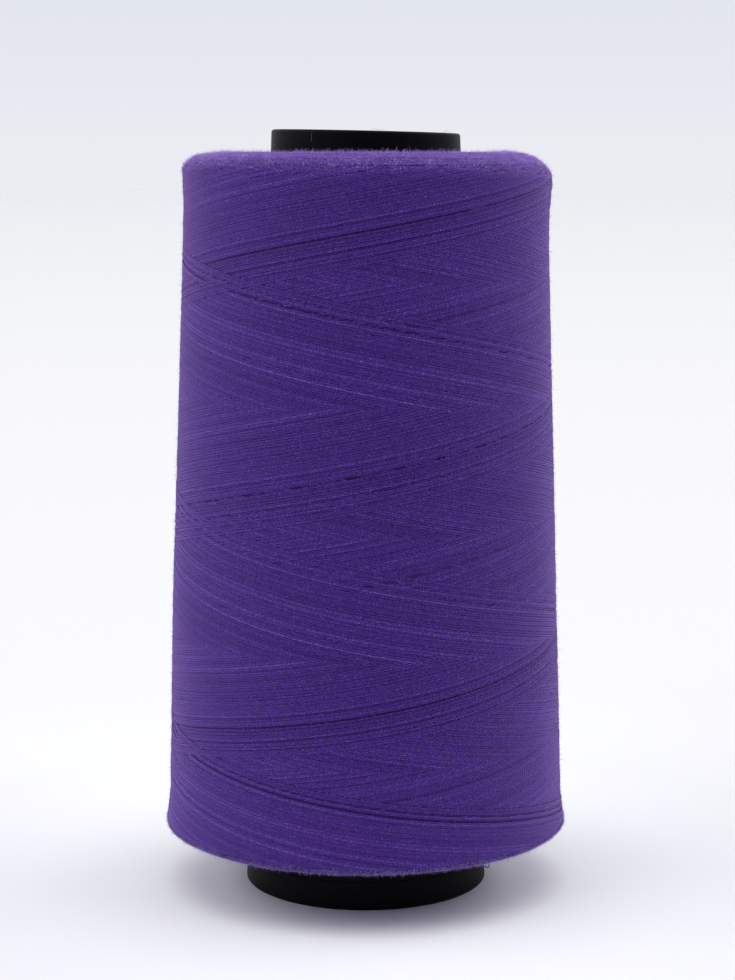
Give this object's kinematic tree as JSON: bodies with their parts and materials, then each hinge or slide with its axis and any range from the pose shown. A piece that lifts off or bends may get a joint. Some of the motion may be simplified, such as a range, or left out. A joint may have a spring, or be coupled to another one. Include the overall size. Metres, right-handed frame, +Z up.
{
  "type": "spool of thread",
  "caption": "Large cross-wound spool of sewing thread on a slightly tapered moulded plastic tube that stands out at both ends.",
  "frame": {"origin": "centre of the tube's base rim, on the surface that the spool stands on", "axes": "+Z up the spool's axis towards the nose; +X is the side to which the nose rim slopes down; millimetre source, metre row"},
  "size_m": [0.0722, 0.0722, 0.1354],
  "materials": {
    "black_plastic": "satin black moulded polypropylene",
    "purple_thread": "spun polyester sewing thread, soft sheen with fine fuzz"
  },
  "bodies": {
    "root": {"cone_tube": "black_plastic", "thread_winding": "purple_thread", "loose_thread_end": "purple_thread"}
  },
  "joints": []
}
